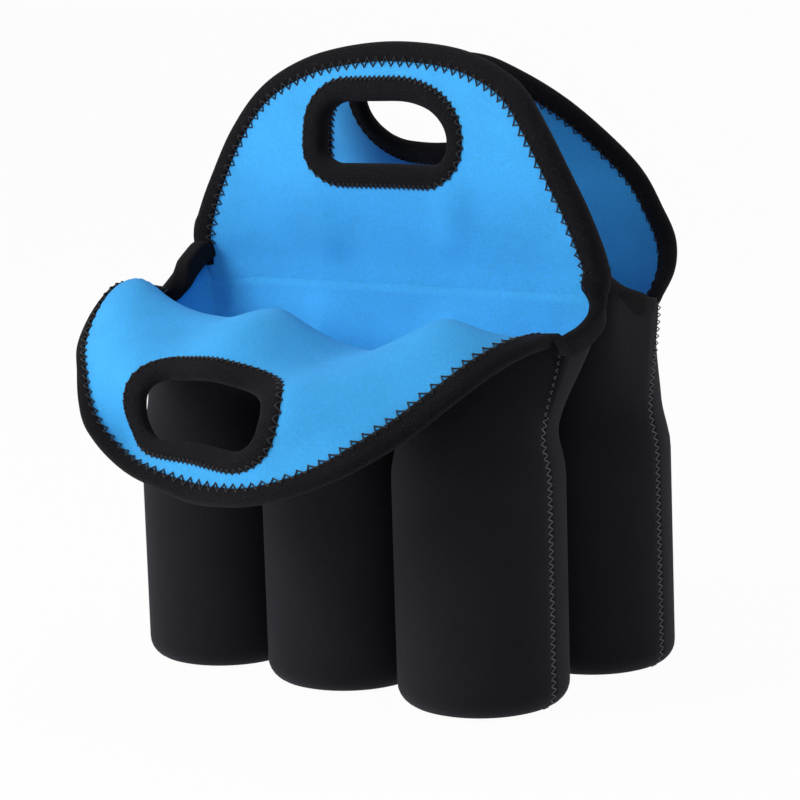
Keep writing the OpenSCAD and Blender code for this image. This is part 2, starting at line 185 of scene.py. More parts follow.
def thin_plate(table, stiffness=0.0002):
    """The thin-plate spline that carries flat pattern points to their places.
    table rows are pattern x, pattern t, then x, y, z. The value at p is
    a + B p + sum of w_i r_i^2 log r_i, with r_i the distance from p to row i in decimetres.
    A higher stiffness lets it pass the rows' places by more."""
    decimetre = 100.0
    table = np.array(table, float)
    knots, places = table[:, :2] / decimetre, table[:, 2:]

    def kernel(points):
        r2 = ((points[:, None] - knots[None]) ** 2).sum(2)
        return 0.5 * r2 * np.log(np.maximum(r2, 1e-12))

    n = len(knots)
    left = np.zeros((n + 3, n + 3))
    left[:n, :n] = kernel(knots) + stiffness * np.eye(n)
    left[:n, n] = 1
    left[:n, n + 1:] = knots
    left[n:, :n] = left[:n, n:].T
    weights = np.linalg.solve(left, np.vstack([places, np.zeros((3, 3))]))

    def carry(p):
        flat = p.reshape(-1, 2) / decimetre
        out = kernel(flat) @ weights[:n] + weights[n] + flat @ weights[n + 1:]
        return out.reshape(p.shape[:-1] + (3,))

    return carry


def normal_of(surface, sign):
    """The unit normal of a surface: the cross product of its two slopes, times sign."""
    step = 0.4

    def at(p):
        across = surface(p + [step, 0]) - surface(p - [step, 0])
        up = surface(p + [0, step]) - surface(p - [0, step])
        return unit(np.cross(across, up) * sign)

    return at


def left_of(path, closed=False):
    """Unit directions to the left of a flat path."""
    step = np.roll(path, -1, 0) - np.roll(path, 1, 0) if closed else np.gradient(path, axis=0)
    return unit(np.stack([-step[:, 1], step[:, 0]], 1))


# Meshes
def quads(nu, nv, close_u=False, close_v=False, start=0):
    """Corner numbers of the quads of an nu by nv grid of points."""
    i = np.arange(nu if close_u else nu - 1)[:, None]
    j = np.arange(nv if close_v else nv - 1)[None]
    i2, j2 = (i + 1) % nu, (j + 1) % nv
    cells = np.stack([i * nv + j, i2 * nv + j, i2 * nv + j2, i * nv + j2], -1)
    return cells.reshape(-1, 4) + start


def piece(name, points, faces, uv, kind, nodes):
    """Makes a closed mesh from points in millimetres; uv has one row for each face corner."""
    mesh = bpy.data.meshes.new(name)
    mesh.from_pydata((points * MM).tolist(), [], faces)
    layer = mesh.uv_layers.new(name="cloth")
    layer.data.foreach_set("uv", np.asarray(uv, np.float32).ravel())
    work = bmesh.new()
    work.from_mesh(mesh)
    bmesh.ops.remove_doubles(work, verts=work.verts, dist=1e-6)
    bmesh.ops.dissolve_degenerate(work, edges=work.edges, dist=1e-7)
    bmesh.ops.recalc_face_normals(work, faces=work.faces)
    for face in work.faces:
        face.smooth = True
    work.to_mesh(mesh)
    work.free()
    obj = bpy.data.objects.new(name, mesh)
    bpy.context.scene.collection.objects.link(obj)
    mesh.materials.append(cloth(kind))
    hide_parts(*nodes)
    return obj


def shell(name, outer, inner, uv, kind, nodes, closed=False):
    """A sheet between two grids of points, with its rims closed. uv is in millimetres."""
    nu, nv = outer.shape[:2]
    count = nu * nv
    points = np.vstack([outer.reshape(-1, 3), inner.reshape(-1, 3)])
    top = quads(nu, nv, closed)
    faces = [top, top[:, ::-1] + count]
    rows = np.arange(nu if closed else nu - 1)
    after = (rows + 1) % nu
    for j in (0, nv - 1):
        rim = np.stack([rows * nv + j, rows * nv + j + count, after * nv + j + count,
                        after * nv + j], 1)
        faces.append(rim if j else rim[:, ::-1])
    if not closed:
        cols = np.arange(nv - 1)
        for i in (0, nu - 1):
            rim = np.stack([i * nv + cols, i * nv + cols + 1, i * nv + cols + 1 + count,
                            i * nv + cols + count], 1)
            faces.append(rim if i else rim[:, ::-1])
    faces = np.vstack(faces)
    both = np.vstack([uv.reshape(-1, 2), uv.reshape(-1, 2)])
    return piece(name, points, faces.tolist(), both[faces] * CLOTH_SCALE, kind, nodes)


def tube_uv(begin, end, sides):
    """Cloth coordinates of a tube's quads: length along it, and share of the way round it."""
    j = np.arange(sides)[None]
    u0, u1 = begin[:, None] + 0 * j, end[:, None] + 0 * j
    v0, v1 = 0 * u0 + j / sides, 0 * u0 + (j + 1) / sides
    return np.stack([u0, v0, u1, v0, u1, v1, u0, v1], -1).reshape(-1, 2)


def swept(name, grid, run, kind, nodes, closed=False):
    """A solid from profiles carried along a path: grid is path by profile, each profile closed.
    Where the path isn't closed, a fan of triangles round a middle point closes each end."""
    nu, nv = grid.shape[:2]
    points = grid.reshape(-1, 3)
    faces = quads(nu, nv, closed, True).tolist()
    begin = run if closed else run[:-1]
    uv = tube_uv(begin, begin + (run[1] - run[0]), nv)
    if not closed:
        around = np.arange(nv)
        after = (around + 1) % nv
        last = (nu - 1) * nv
        points = np.vstack([points, grid[0].mean(0), grid[-1].mean(0)])
        faces += np.stack([around, after, np.full(nv, nu * nv)], 1).tolist()
        faces += np.stack([after + last, around + last, np.full(nv, nu * nv + 1)], 1).tolist()
        uv = np.vstack([uv, np.zeros((2 * nv * 3, 2))])
    return piece(name, points, faces, uv * [CLOTH_SCALE, TAPE_ROUND], kind, nodes)


def tubes(name, paths, radius, kind, nodes):
    """Threads: each path is (points, normals), with a ring of five points round each of its points
    and a flat face at both ends."""
    sides = 5
    angle = np.linspace(0, 2 * pi, sides, endpoint=False)[:, None]
    around = np.arange(sides)
    rings, faces, uv = [], [], []
    start = 0
    for points, normals in paths:
        along = unit(np.gradient(points, axis=0))
        side = unit(np.cross(along, normals))
        up = np.cross(side, along)
        ring = (side[:, None] * np.cos(angle) + up[:, None] * np.sin(angle)) * radius
        run = run_along(points)
        last = start + (len(points) - 1) * sides
        rings.append((points[:, None] + ring).reshape(-1, 3))
        faces += quads(len(points), sides, False, True, start).tolist()
        faces += [(start + around[::-1]).tolist(), (last + around).tolist()]
        uv += [tube_uv(run[:-1], run[1:], sides), np.zeros((2 * sides, 2))]
        start = last + sides
    return piece(name, np.vstack(rings), faces, np.vstack(uv), kind, nodes)


KNITS = {
    "foam": {"name": "Black foam knit", "rough": 0.82, "sheen": 0.09,
             "sheen_tint": (0.55, 0.52, 0.62, 1), "grain": 0.16, "relief": 0.4, "pitch": 0.8,
             "fleck": 0.12},
    "lining": {"name": "Blue lining knit", "rough": 0.80, "sheen": 0.08,
               "sheen_tint": (0.65, 0.85, 1.0, 1), "grain": 0.085, "relief": 0.30, "pitch": 0.7,
               "fleck": 0.0},
    "tape": {"name": "Black binding tape", "rough": 0.88, "sheen": 0.05,
             "sheen_tint": (0.6, 0.58, 0.62, 1), "grain": 0.30, "relief": 0.8, "pitch": 0.85,
             "fleck": 0.3},
}
THREADS = {"thread": "Black thread", "seam": "Grey seam thread"}

# Cloth coordinates are in centimetres, and a tape counts as two round its section
CLOTH_SCALE = 0.1
TAPE_ROUND = 2.0

# A wave texture's scale for ribs and rows that are 1 mm apart
RIB_SCALE = 3.2
ROW_SCALE = 4.0
LINT_COLOUR = (0.13, 0.12, 0.14, 1)


def new_material(name):
    """An empty node material with its Principled shader."""
    material = bpy.data.materials.new(name)
    material.use_nodes = True
    tree = material.node_tree
    return material, tree, tree.nodes["Principled BSDF"]


def put(node, inputs):
    """Sets the values of a node's inputs."""
    for socket, value in inputs.items():
        node.inputs[socket].default_value = value


def add(tree, kind, inputs=None, **settings):
    """Adds a node with its own settings and the values of its inputs."""
    node = tree.nodes.new(kind)
    for setting, value in settings.items():
        setattr(node, setting, value)
    put(node, inputs or {})
    return node


def join(tree, links):
    """Links nodes; each row is a node, its output, the next node and its input."""
    for source, output, target, socket in links:
        tree.links.new(source.outputs[output], target.inputs[socket])


def about_one(tree, amount):
    """A node that turns noise of 0.3 to 0.7 into a factor from 1 - amount to 1 + amount."""
    return add(tree, "ShaderNodeMapRange", {
        "From Min": 0.3, "From Max": 0.7, "To Min": 1 - amount, "To Max": 1 + amount})


def knit(name, colour, rough, sheen, sheen_tint, grain, relief, pitch, fleck):
    """A knit face: rows of loops and a fine grain on the piece's own cloth coordinates.
    Height is wave(u) * wave(v) + 0.7 grain; colour varies with the grain and broad patches, and
    fleck is the share of pale lint."""
    material, tree, shader = new_material(name)
    put(shader, {"Roughness": rough, "Specular IOR Level": 0.12, "Sheen Weight": sheen,
                 "Sheen Roughness": 0.55, "Sheen Tint": sheen_tint})
    where = add(tree, "ShaderNodeUVMap", uv_map="cloth")
    place = add(tree, "ShaderNodeTexCoord")
    ribs = add(tree, "ShaderNodeTexWave", {
        "Scale": RIB_SCALE / pitch, "Distortion": 1.2, "Detail": 1, "Detail Scale": 2,
    }, bands_direction="X")
    rows = add(tree, "ShaderNodeTexWave", {
        "Scale": ROW_SCALE / pitch, "Distortion": 1.0, "Detail": 1}, bands_direction="Y")
    loops = add(tree, "ShaderNodeMath", operation="MULTIPLY")
    fine = add(tree, "ShaderNodeTexNoise", {"Scale": 900, "Detail": 3, "Roughness": 0.6})
    broad = add(tree, "ShaderNodeTexNoise", {"Scale": 38, "Detail": 4})
    height = add(tree, "ShaderNodeMath", {1: 0.7}, operation="MULTIPLY_ADD")
    bump = add(tree, "ShaderNodeBump", {"Strength": relief, "Distance": 0.00035})
    shade = about_one(tree, grain)
    patch = about_one(tree, grain * 0.7)
    both = add(tree, "ShaderNodeMath", operation="MULTIPLY")
    tint = add(tree, "ShaderNodeVectorMath", {0: colour}, operation="SCALE")
    join(tree, [
        (where, "UV", ribs, "Vector"), (where, "UV", rows, "Vector"),
        (place, "Object", fine, "Vector"), (place, "Object", broad, "Vector"),
        (ribs, "Fac", loops, 0), (rows, "Fac", loops, 1),
        (fine, "Fac", height, 0), (loops, "Value", height, 2),
        (height, "Value", bump, "Height"), (bump, "Normal", shader, "Normal"),
        (fine, "Fac", shade, "Value"), (broad, "Fac", patch, "Value"),
        (shade, "Result", both, 0), (patch, "Result", both, 1), (both, "Value", tint, "Scale"),
    ])
    face = (tint, "Vector")
    if fleck:
        lint = add(tree, "ShaderNodeTexNoise", {"Scale": 2600, "Detail": 1})
        light = add(tree, "ShaderNodeMapRange", {
            "From Min": 0.62, "From Max": 0.78, "To Max": fleck})
        blend = add(tree, "ShaderNodeMix", {"B": LINT_COLOUR}, data_type="RGBA")
        join(tree, [
            (place, "Object", lint, "Vector"), (lint, "Fac", light, "Value"),
            (light, "Result", blend, "Factor"), (*face, blend, "A"),
        ])
        face = (blend, "Result")
    join(tree, [(*face, shader, "Base Color")])
    return material


def thread_material(name, colour):
    """Twisted thread: a slanted wave along its length, in its shade and in its relief."""
    material, tree, shader = new_material(name)
    put(shader, {"Roughness": 0.6, "Specular IOR Level": 0.35, "Sheen Weight": 0.15})
    where = add(tree, "ShaderNodeUVMap", uv_map="cloth")
    twist = add(tree, "ShaderNodeTexWave", {"Scale": 1.6, "Distortion": 0.6},
                bands_direction="DIAGONAL")
    shade = add(tree, "ShaderNodeMapRange", {"To Min": 0.7, "To Max": 1.25})
    tint = add(tree, "ShaderNodeVectorMath", {0: colour}, operation="SCALE")
    bump = add(tree, "ShaderNodeBump", {"Strength": 0.5, "Distance": 0.0002})
    join(tree, [
        (where, "UV", twist, "Vector"), (twist, "Fac", shade, "Value"),
        (shade, "Result", tint, "Scale"), (tint, "Vector", shader, "Base Color"),
        (twist, "Fac", bump, "Height"), (bump, "Normal", shader, "Normal"),
    ])
    return material


def cloth(kind):
    """The material of that kind, made once."""
    name = KNITS[kind]["name"] if kind in KNITS else THREADS[kind]
    found = bpy.data.materials.get(name)
    if found:
        return found
    tone = colours()[kind]
    if kind in KNITS:
        return knit(colour=tone, **KNITS[kind])
    return thread_material(name, tone)


# The flaps' cut and lie
# Each row of a lie is pattern x across and t up from the fold, then the place of the lining face,
# with y from the middle flap. A cut is the right half of a flap's edge on its pattern.
FRONT_LIE = [
    (0, -18, 0, -70, 151), (0, -8, 0, -71, 161), (0, 0, 0, -76, 168.5), (0, 6, 0, -82, 168.8),
    (0, 19, 0, -96.5, 164), (0, 38, 0, -114, 153.5), (0, 64, 0, -128, 131.5),
    (0, 89.5, 0, -134.5, 109), (0, 103, 0, -137.5, 97),
    (79, -18, 77, -62, 150), (79, -8, 77.5, -58, 160), (79, 2, 78, -62, 167), (79, 14, 79, -73, 164),
    (38, -18, 37.5, -55, 142.5), (38, -6, 37.5, -58, 149.5), (37.5, 5, 37, -67, 152),
    (37, 18, 36.5, -81, 151), (36, 31, 36, -96, 148.5),
    (45, 51, 43, -120, 142.5), (46.5, 64, 45.5, -130.5, 130), (46.5, 77, 44.5, -132, 117.5),
    (-46, 50, -44, -123, 146.5), (-46.5, 64, -46, -128, 133), (-46, 78, -44, -127, 119),
    (-79, -18, -79, -68, 160), (-79, -6, -82, -69, 172), (-79, 3, -84, -77, 178),
    (-79, 16, -84, -89, 174),
    (-38, -18, -37.5, -62, 148), (-38, -4, -38, -70, 161), (-38, 8, -38, -80, 163.5),
    (-38, 25, -38.5, -97, 158),
    (124.6, -18, 111.6, -29, 158), (119.5, 2, 114, -49, 157), (110.7, 22.7, 111, -71, 151),
    (100, 46, 103, -92, 139), (87, 68, 90, -110, 124.5), (66, 91, 73, -130, 111),
    (40, 100, 42, -138.5, 100.5),
    (-124.6, -18, -111.6, -36, 168), (-118, 4, -110, -60, 172), (-110.7, 22.7, -100, -82, 172),
    (-97.3, 50.6, -95, -106, 153), (-84.3, 71, -80, -122, 143), (-57.5, 94, -57, -137, 120),
    (-19, 102.5, -20, -138, 101.5),
]
FRONT_CUT = [(124.6, -18), (119.5, 2), (110.7, 22.7), (100, 46), (87, 68), (66, 90), (40, 100.5),
             (14, 103.6)]
BACK_HALF = [
    (79, -14, 77, 70, 154), (79, 0, 77.5, 69, 168.5), (38, -14, 37.5, 64, 154),
    (38, 0, 37.6, 66, 168), (122, -14, 111.6, 38, 167), (119, 4, 111.5, 50, 179),
    (115, 16, 108.5, 56.5, 190), (111, 31, 102.5, 57.5, 202), (106, 47, 95, 57.5, 216),
    (96, 62, 85, 53, 229.5),
    (75, 91, 64, 37, 253.5), (42, 111, 37.5, 30, 269),
]


def back_left(row):
    """The back flap's left half is its right half mirrored, but its upper part hangs out to the
    left and forward."""
    x, t, place_x, place_y, place_z = row
    up = max(0, t - 20) / 90
    return -x, t, -place_x - 6.5 * up, place_y - 6.0 * up, place_z


BACK_LIE = BACK_HALF + [back_left(row) for row in BACK_HALF] + [
    (0, -14, 0, 70, 154), (0, 0, 0, 70, 168), (0, 20, 0, 63, 187), (0, 41, 0, 49.5, 203.5),
    (0, 61, 0, 36, 219.5), (0, 81, 0, 26, 237.5), (0, 99, 0, 23.5, 255.5), (0, 119, 0, 32, 274),
]
BACK_CUT = [(122, -14), (119, 4), (115, 16), (111, 31), (105.5, 47), (96, 62), (75, 91), (42, 111),
            (14, 118.2)]
MIDDLE_CUT = [(110, -12), (114.5, 0), (113.5, 12), (110.5, 22), (103.5, 38), (88.5, 63), (71, 82.5),
              (45, 94.5), (15, 99.4)]

# Each flap: its lie and cut, its lower edge, its hand hole's middle, radii and sink, and the side
# that its cloth faces
FLAPS = {
    "front": {"lie": FRONT_LIE, "cut": FRONT_CUT, "foot": -18.0, "sign": 1.0,
              "hole": (0, 64), "corners": ((22, 15), (16, 13), (14, 12), (13, 12)), "sink": 0.0},
    "back": {"lie": BACK_LIE, "cut": BACK_CUT, "foot": -14.0, "sign": -1.0,
             "hole": (-2.5, 89.5), "corners": ((20, 14), (20, 14), (20, 14), (24, 15)),
             "sink": 0.0},
    "middle": {"cut": MIDDLE_CUT, "foot": -12.0, "sign": 1.0,
               "hole": (2.6, 61.3), "corners": ((11, 11), (34, 19), (13, 11), (13, 9)),
               "sink": 1.0},
}

# The middle flap's half width and height, and its soft folds: x at the foot, x at 50 mm, depth
MIDDLE_HALF, MIDDLE_TALL = 114, 100
MIDDLE_FOLDS = ((-30, -44, 2.4), (33, 45, 2.2))


def mirrored_cut(half):
    """The arch from its right foot over the top to its left foot."""
    return half + [(-x, t) for x, t in reversed(half)]


def drawn_forward(x):
    """How far the middle's left end is drawn forward: 7 mm times the square of its share of the
    last 50 mm."""
    return 7 * np.clip((-x - 62) / 50, 0, 1) ** 2


def middle_surface(p):
    """Mid-plane of the middle flap at pattern x and t. Its height is t less a little for its curl.
    It swells forward by 8.2 (0.5 - 0.5 cos(2 pi t/100))^0.8, a quarter less at its sides. Its lower
    sides come up to 3 mm further, each soft fold adds depth exp(-(dx/9)^2) below 52 mm, and the
    left end is drawn forward, most of all at its foot."""
    x, t = p[..., 0], p[..., 1]
    up = np.clip(t, -8, 110) / MIDDLE_TALL
    swell = (0.5 - 0.5 * np.cos(2 * pi * np.clip(up, 0, 1))) ** 0.8
    y = -8.2 * swell * (1 - 0.25 * (x / MIDDLE_HALF) ** 2)
    y = y - 3.0 * (np.abs(x) / MIDDLE_HALF) ** 4 * ease(up * 6) * (1 - ease(up * 1.3))
    for foot, top, deep in MIDDLE_FOLDS:
        line = foot + (top - foot) * np.clip(t, 0, 50) / 50
        y = y - deep * np.exp(-((x - line) / 9.0) ** 2) * ease(t / 16) * (1 - ease((t - 30) / 22))
    y = y - drawn_forward(x) * (1 - 0.9 * ease((t - 8) / 45))
    return np.stack([x, MIDDLE_Y + y, MIDDLE_Z + t - 0.5 * ease(up) * up], -1)


def flap_surface(which):
    """That flap's surface, which is its lining face or the middle flap's mid-plane, and its normal."""
    spec = FLAPS[which]
    if which == "middle":
        return middle_surface, normal_of(middle_surface, spec["sign"])
    plate = thin_plate(spec["lie"])

    def surface(p):
        return plate(p) + [0, MIDDLE_Y, 0]

    return surface, normal_of(surface, spec["sign"])


def hole_outline(which, count):
    """A rounded slot, anticlockwise from its lower left, as count even points. Each corner is a
    quarter ellipse with its own radii, and the right end sinks by sink * max(0, x / half)^2."""
    s = sizes()
    spec = FLAPS[which]
    half, high = s["hole_length"] / 2, s["hole_height"] / 2
    parts = []
    sides = ((1, -1), (1, 1), (-1, 1), (-1, -1))
    for k, ((side_x, side_t), (rx, rt)) in enumerate(zip(sides, spec["corners"])):
        angle = np.linspace(0, pi / 2, 24) + (k - 1) * pi / 2
        parts.append(np.stack([side_x * (half - rx) + rx * np.cos(angle),
                               side_t * (high - rt) + rt * np.sin(angle)], 1))
    x, t = respace(np.vstack([parts[-1][-1:], *parts]), count, closed=True).T
    t = t - spec["sink"] * np.maximum(0, x / half) ** 2
    return np.stack([x, t], 1) + spec["hole"]


# The grid's columns on each of a wall's three pockets
COLUMNS = 33


def column_x(side_x):
    """Pattern x of every column of an outer wall, from the crowns over its pockets' middles and the
    valleys between them."""
    valley, crown = 38, 79
    a = np.linspace(-90, 90, COLUMNS)
    middle = valley * a / 90
    right = crown + np.where(a < 0, crown - valley, side_x - crown) * a / 90
    return np.concatenate([-right[::-1], middle, right])


def foot_line(which):
    """A flap's lower edge on its pattern, with a point for each column of its wall."""
    spec = FLAPS[which]
    if which == "middle":
        x = np.linspace(-110, 110, 3 * COLUMNS)
    else:
        x = column_x(spec["cut"][0][0])
    return np.stack([x, np.full(len(x), spec["foot"])], 1)


def flap_grid(which):
    """The flap's flat ring from its hand hole to its cut edge: (1-r) hole + r edge. The first 165
    of the hole's 480 points face the foot, and the others face the arch, which lies 0.9 mm inside
    the cut, so that the tape's fold has room."""
    foot = foot_line(which)
    arch = through(mirrored_cut(FLAPS[which]["cut"]), 171)
    arch = arch + left_of(arch) * 0.9
    outer = np.vstack([foot, arch[1:-1]])
    loop = hole_outline(which, 480)
    low_end = 164
    low = respace(loop[:low_end + 1], len(foot))
    rest = respace(np.vstack([loop[low_end:], loop[:1]]), len(arch))[1:-1]
    inner = np.vstack([low, rest])
    r = np.linspace(0, 1, 24)[None, :, None]
    return inner[:, None] * (1 - r) + outer[:, None] * r


def flap_sheet(name, which, low, high, kind, nodes):
    """A flap's sheet between two heights over its surface."""
    grid = flap_grid(which)
    surface, normal = flap_surface(which)
    place, n = surface(grid), normal(grid)
    return shell(name, place + n * high, place + n * low, grid, kind, nodes, closed=True)


# Tape and stitches
TAPE_RISE = 1.15


def tape_profile(width, half):
    """A folded tape's section as (inset from the edge, height), going round the edge once: along
    one face at the height half, round the edge by over, and back on the other face."""
    over = 1.5
    inset = np.array([width, width * 0.93, width * 0.7, width * 0.4, 0.6, -over * 0.62, -over])
    height = half * np.array([0.62, 0.93, 1, 1.02, 0.97, 0.55, 0])
    return np.append(inset, inset[-2::-1]), np.append(height, -height[-2::-1])


def edge_tape(name, which, path, width, faces, nodes, hole=False):
    """A tape folded over a cut edge or round a hole: each point of its section is the surface at
    its inset, plus its height times the normal."""
    surface, normal = flap_surface(which)
    low, high = faces
    inset, height = tape_profile(width, (high - low) / 2 + TAPE_RISE)
    inward = left_of(path, hole) * (-1 if hole else 1)
    flat = path[:, None] + inward[:, None] * inset[:, None]
    grid = surface(flat) + normal(flat) * (height + (low + high) / 2)[:, None]
    return swept(name, grid, run_along(path), "tape", nodes, hole)


def zigzag(path, pitch, near, far, hole):
    """Flat zigzag beside a path: teeth from inset near to inset far and back, about pitch apart,
    with 8 points each. Returns the points and how far each is on its way from near to far."""
    if hole:
        path = np.vstack([path, path[:1]])
    run = run_along(path)
    count = int(run[-1] // pitch)
    tooth = run[-1] / count
    share = np.arange(8) / 8
    at = np.append((np.arange(count)[:, None] + share).ravel() * tooth, run[-1])
    out = np.append(np.tile(1 - np.abs(1 - 2 * share), count), 0.0)
    inward = picked(left_of(path), run, at) * (-1 if hole else 1)
    return picked(path, run, at) + inward * (near + (far - near) * out)[:, None], out


def edge_stitches(name, which, path, pitch, insets, faces, nodes, hole=False):
    """Zigzag thread on both faces of a taped edge: 1.35 mm over the sheet on the tape, and 0.2 mm
    where a tooth reaches past it."""
    surface, normal = flap_surface(which)
    low, high = faces
    flat, out = zigzag(path, pitch, *insets, hole)
    place, n = surface(flat), normal(flat)
    over = 1.35 - 1.15 * ease((out - 0.25) / 0.45)
    paths = [(place + n * level[:, None], n) for level in (low - over, high + over)]
    return tubes(name, paths, sizes()["thread"], "thread", nodes)


# Pocket rows
FOOT_CORNER = 9.0
STRAIGHT_TOP = 112.0

# Each row: its middle, the side that its outer wall faces, how far its foot is set back, and its
# mouth's right and left corners as y from the middle flap and z
ROWS = {
    "front": {"y": FRONT_Y, "out": -1, "lean": 0.0, "right": (-29.0, 157.5), "left": (-36.0, 168.0)},
    "back": {"y": BACK_Y, "out": 1, "lean": 2.4, "right": (38.0, 167.0), "left": (38.0, 167.0)},
}
HANDS = {"left": -1, "right": 1}

# The mouth's edge as shares of its way out and of its fall
MOUTHS = {
    "front": ((0, 0), (0.10, 0.30), (0.19, 0.50), (0.33, 0.70), (0.5, 0.84), (0.72, 0.95), (1, 1)),
    "back": ((0, 0), (0.10, 0.14), (0.19, 0.26), (0.33, 0.42), (0.5, 0.60), (0.72, 0.82), (1, 1)),
}
DRAWN_UP_MOUTH = [(0, 186), (8, 184.5), (18, 179), (27, 173)]


def neck(z):
    """How far a pocket narrows at height z: all of neck_in from 120 mm up, nothing below 98."""
    return sizes()["neck_in"] * ease((z - 98) / 22)


def set_back(row, z):
    """How far a leaning row is moved back at height z: most at its foot, nothing above 150 mm."""
    return ROWS[row]["lean"] * (1 - np.clip(z / 150, 0, 1))


def foot_and_side(n):
    """Radius and height of each row of a pocket's grid up to 112 mm, n outside its lining face: a
    flat foot, a quarter round of 9 mm outside, and a side that narrows at the shoulder."""
    s = sizes()
    bore = s["pocket_bore"] / 2
    flat = bore - (FOOT_CORNER - s["sheet"])
    corner = FOOT_CORNER - s["sheet"] + n
    share = np.array([0.0, 9.0, 18.0, 25.0]) / 28
    turn = np.radians(np.linspace(0, 90, 8))
    side = np.linspace(FOOT_CORNER, STRAIGHT_TOP, 22)[1:]
    r = np.concatenate([share * flat, flat + corner * np.sin(turn), np.full(len(side), bore + n)])
    z = np.concatenate([np.full(len(share), s["sheet"] - n), FOOT_CORNER - corner * np.cos(turn),
                        side])
    return r - neck(z), z


def pocket_wall(row, facing, top, top_normal, n):
    """Half of a row of pockets as a grid of points, n outside its lining face.
    Below 112 mm each column lies on its pocket: x = xc + r sin a, y = yc + facing r cos a.
    Above, it turns smoothly into the panel's top edge."""
    s = sizes()
    pitch = s["pocket_pitch"]
    a = np.radians(np.tile(np.linspace(-90, 90, COLUMNS), 3))[:, None]
    xc = np.repeat([-pitch, 0, pitch], COLUMNS)[:, None]

    def on_pocket(r, z):
        x = xc + r * np.sin(a)
        y = ROWS[row]["y"] + facing * r * np.cos(a)
        return np.stack([x, y, z + 0 * a], -1)

    low = on_pocket(*foot_and_side(n))
    goal = (top + top_normal * n)[:, None]
    share = np.linspace(0, 1, 15)[1:]
    z = STRAIGHT_TOP + (goal[..., 2] - STRAIGHT_TOP) * share
    rounded = on_pocket(s["pocket_bore"] / 2 + n - neck(z), z)
    below_goal = goal + np.stack([0 * z, 0 * z, z - goal[..., 2]], -1)
    w = ease(share)[:, None]
    grid = np.concatenate([low, rounded * (1 - w) + below_goal * w], 1)
    grid[..., 1] += set_back(row, grid[..., 2])
    return grid


def mouth_line(row, hand):
    """The side panel's upper edge from the middle flap to the side seam, as distances from the
    middle and heights. The front right one hangs in a deep curve, the front left one is drawn up,
    and the back ones are nearly straight."""
    corner_y, corner_z = ROWS[row][hand]
    reach = abs(corner_y)
    if (row, hand) == ("front", "left"):
        points = DRAWN_UP_MOUTH + [(reach, corner_z)]
    else:
        top = MIDDLE_Z - 1
        points = [(out * reach, top - (top - corner_z) * fall) for out, fall in MOUTHS[row]]
    return through(points, 60).T


def inner_end(row, hand):
    """The part of an inner wall's top edge over its left or right pocket, from the middle out, and
    its directions out: along x to 107 mm, a quarter round of 4.4 mm, then on to the side seam.
    It is 172 mm high as far as the mouth's edge lets it."""
    facing = -ROWS[row]["out"]
    clear, bend, bend_x, level = sizes()["sheet"] + 0.02, 4.4, 107.0, 172.0
    a = np.linspace(-90, 90, COLUMNS)
    turn = np.radians(np.interp(a, [30, 60], [0, 90]))
    x = np.interp(a, [-90, 30], [sizes()["pocket_pitch"] / 2, bend_x]) + bend * np.sin(turn)
    to_seam = np.interp(a, [60, 90], [clear + bend, abs(ROWS[row][hand][0])])
    away = np.where(a > 60, to_seam, clear + bend * (1 - np.cos(turn)))
    line = np.interp(away, *mouth_line(row, hand))
    if (row, hand) == ("front", "left"):
        z = level + (line - level) * ease((a - 30) / 25)
    else:
        z = np.where(a < 30, level, np.minimum(level, line))
    x = HANDS[hand] * x
    y = MIDDLE_Y - facing * away - drawn_forward(x) * np.clip((90 - a) / 30, 0, 1)
    normal = np.stack([HANDS[hand] * np.sin(turn), facing * np.cos(turn), 0 * turn], 1)
    return np.stack([x, y, z], 1), normal


def inner_top(row):
    """Top edge of an inner wall and its directions out: straight under the middle flap, then round
    the corner and down to the side seam at both ends."""
    facing = -ROWS[row]["out"]
    left, left_normal = inner_end(row, "left")
    right, right_normal = inner_end(row, "right")
    middle = np.linspace(left[0], right[0], COLUMNS)
    normal = np.tile([0.0, facing, 0.0], (COLUMNS, 1))
    return (np.vstack([left[::-1], middle, right]),
            np.vstack([left_normal[::-1], normal, right_normal]))


def wall_grid(row, side, n):
    """Grid of a row's outer or inner wall, n outside the lining face. An outer wall ends at the
    foot line of its flap."""
    out = ROWS[row]["out"]
    if side == "inner":
        return pocket_wall(row, -out, *inner_top(row), n)
    surface, normal = flap_surface(row)
    foot = foot_line(row)
    return pocket_wall(row, out, surface(foot), normal(foot), n)


def wall_uv(grid):
    """Cloth coordinates of a wall in millimetres: length along a row at its straight part, and up
    each column."""
    straight_row = 20
    u = run_along(grid[:, straight_row])[:, None]
    up = np.linalg.norm(np.diff(grid, axis=1), axis=2)
    v = np.concatenate([np.zeros((len(grid), 1)), np.cumsum(up, 1)], 1)
    return np.stack([u + 0 * v, v], -1)


def seam_path(row, hand):
    """The side seam's line on the outside, from the foot's rounded edge to the corner."""
    first_row = 6
    column = -1 if hand == "right" else 0
    return respace(wall_grid(row, "outer", sizes()["sheet"])[column, first_row:], 200)


def mouth_tape_path(row, hand):
    """The middle of the side panel's upper edge, from the side seam's top to the middle flap and a
    little up its end, as x, distance from the middle, and z."""
    away, z = mouth_line(row, hand)
    side_x = 111.6 + sizes()["sheet"] / 2
    path = np.stack([side_x + 0 * z, away, z], 1)[::-1]
    before = path[:1] + ([0.2, 9.0, -0.4] if row == "front" else [0.0, 1.5, -0.8])
    above = [[114.2, -0.2, 181.0], [114.3, -0.3, 186.0]]
    if (row, hand) == ("front", "left"):
        path[:, 0] -= 1.0
        above = [[113.4, 0.6, 190.0], [113.2, 0.0, 196.0]]
    return through(np.vstack([before, path[::9], above]), 46)


